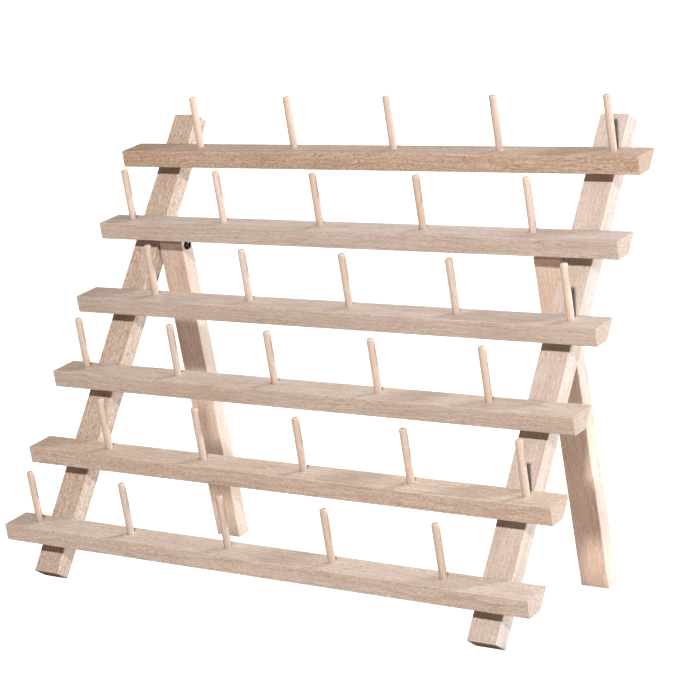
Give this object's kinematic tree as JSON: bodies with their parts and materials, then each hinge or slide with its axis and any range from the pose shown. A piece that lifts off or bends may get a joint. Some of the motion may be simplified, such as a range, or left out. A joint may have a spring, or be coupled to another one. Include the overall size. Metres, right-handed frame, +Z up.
{
  "type": "folding thread spool rack",
  "caption": "Folding wooden thread rack: sloping shelf rails with upright spool pegs on two leaning posts, and two rear legs that fold flat.",
  "frame": {"origin": "on the floor, at the middle of the standing rack's outline seen from above", "axes": "+X along the rails to the right, +Y to the back, +Z up; the front, with the pegs, faces -Y"},
  "size_m": [0.4, 0.1726, 0.3046],
  "materials": {
    "beech": "fine-sanded bare beech, straight fine grain with short flecks",
    "peg_wood": "sanded birch dowel, slightly paler than the rails",
    "black_steel": "black oxide, satin",
    "zinc_steel": "zinc-plated steel, dull"
  },
  "bodies": {
    "rack": {"left_post": "beech", "right_post": "beech", "rail_1": "beech", "rail_2": "beech", "rail_3": "beech", "rail_4": "beech", "rail_5": "beech", "rail_6": "beech", "peg_1_1": "peg_wood", "peg_1_2": "peg_wood", "peg_1_3": "peg_wood", "peg_1_4": "peg_wood", "peg_1_5": "peg_wood", "peg_2_1": "peg_wood", "peg_2_2": "peg_wood", "peg_2_3": "peg_wood", "peg_2_4": "peg_wood", "peg_2_5": "peg_wood", "peg_3_1": "peg_wood", "peg_3_2": "peg_wood", "peg_3_3": "peg_wood", "peg_3_4": "peg_wood", "peg_3_5": "peg_wood", "peg_4_1": "peg_wood", "peg_4_2": "peg_wood", "peg_4_3": "peg_wood", "peg_4_4": "peg_wood", "peg_4_5": "peg_wood", "peg_5_1": "peg_wood", "peg_5_2": "peg_wood", "peg_5_3": "peg_wood", "peg_5_4": "peg_wood", "peg_5_5": "peg_wood", "peg_6_1": "peg_wood", "peg_6_2": "peg_wood", "peg_6_3": "peg_wood", "peg_6_4": "peg_wood", "peg_6_5": "peg_wood", "left_pivot_screw": "black_steel", "right_pivot_screw": "black_steel", "left_pivot_washer": "zinc_steel", "right_pivot_washer": "zinc_steel", "left_rail_screws": "zinc_steel", "right_rail_screws": "zinc_steel"},
    "left_leg": {"left_rear_leg": "beech"},
    "right_leg": {"right_rear_leg": "beech"}
  },
  "joints": [
    {"name": "left_leg_fold", "type": "hinge", "parent": "rack", "child": "left_leg", "pos_m": [-0.14695, 0.0321, 0.20725], "axis": [-1, 0, 0], "range_deg": [0, 41.9]},
    {"name": "right_leg_fold", "type": "hinge", "parent": "rack", "child": "right_leg", "pos_m": [0.14695, 0.0321, 0.20725], "axis": [-1, 0, 0], "range_deg": [0, 41.9]}
  ]
}
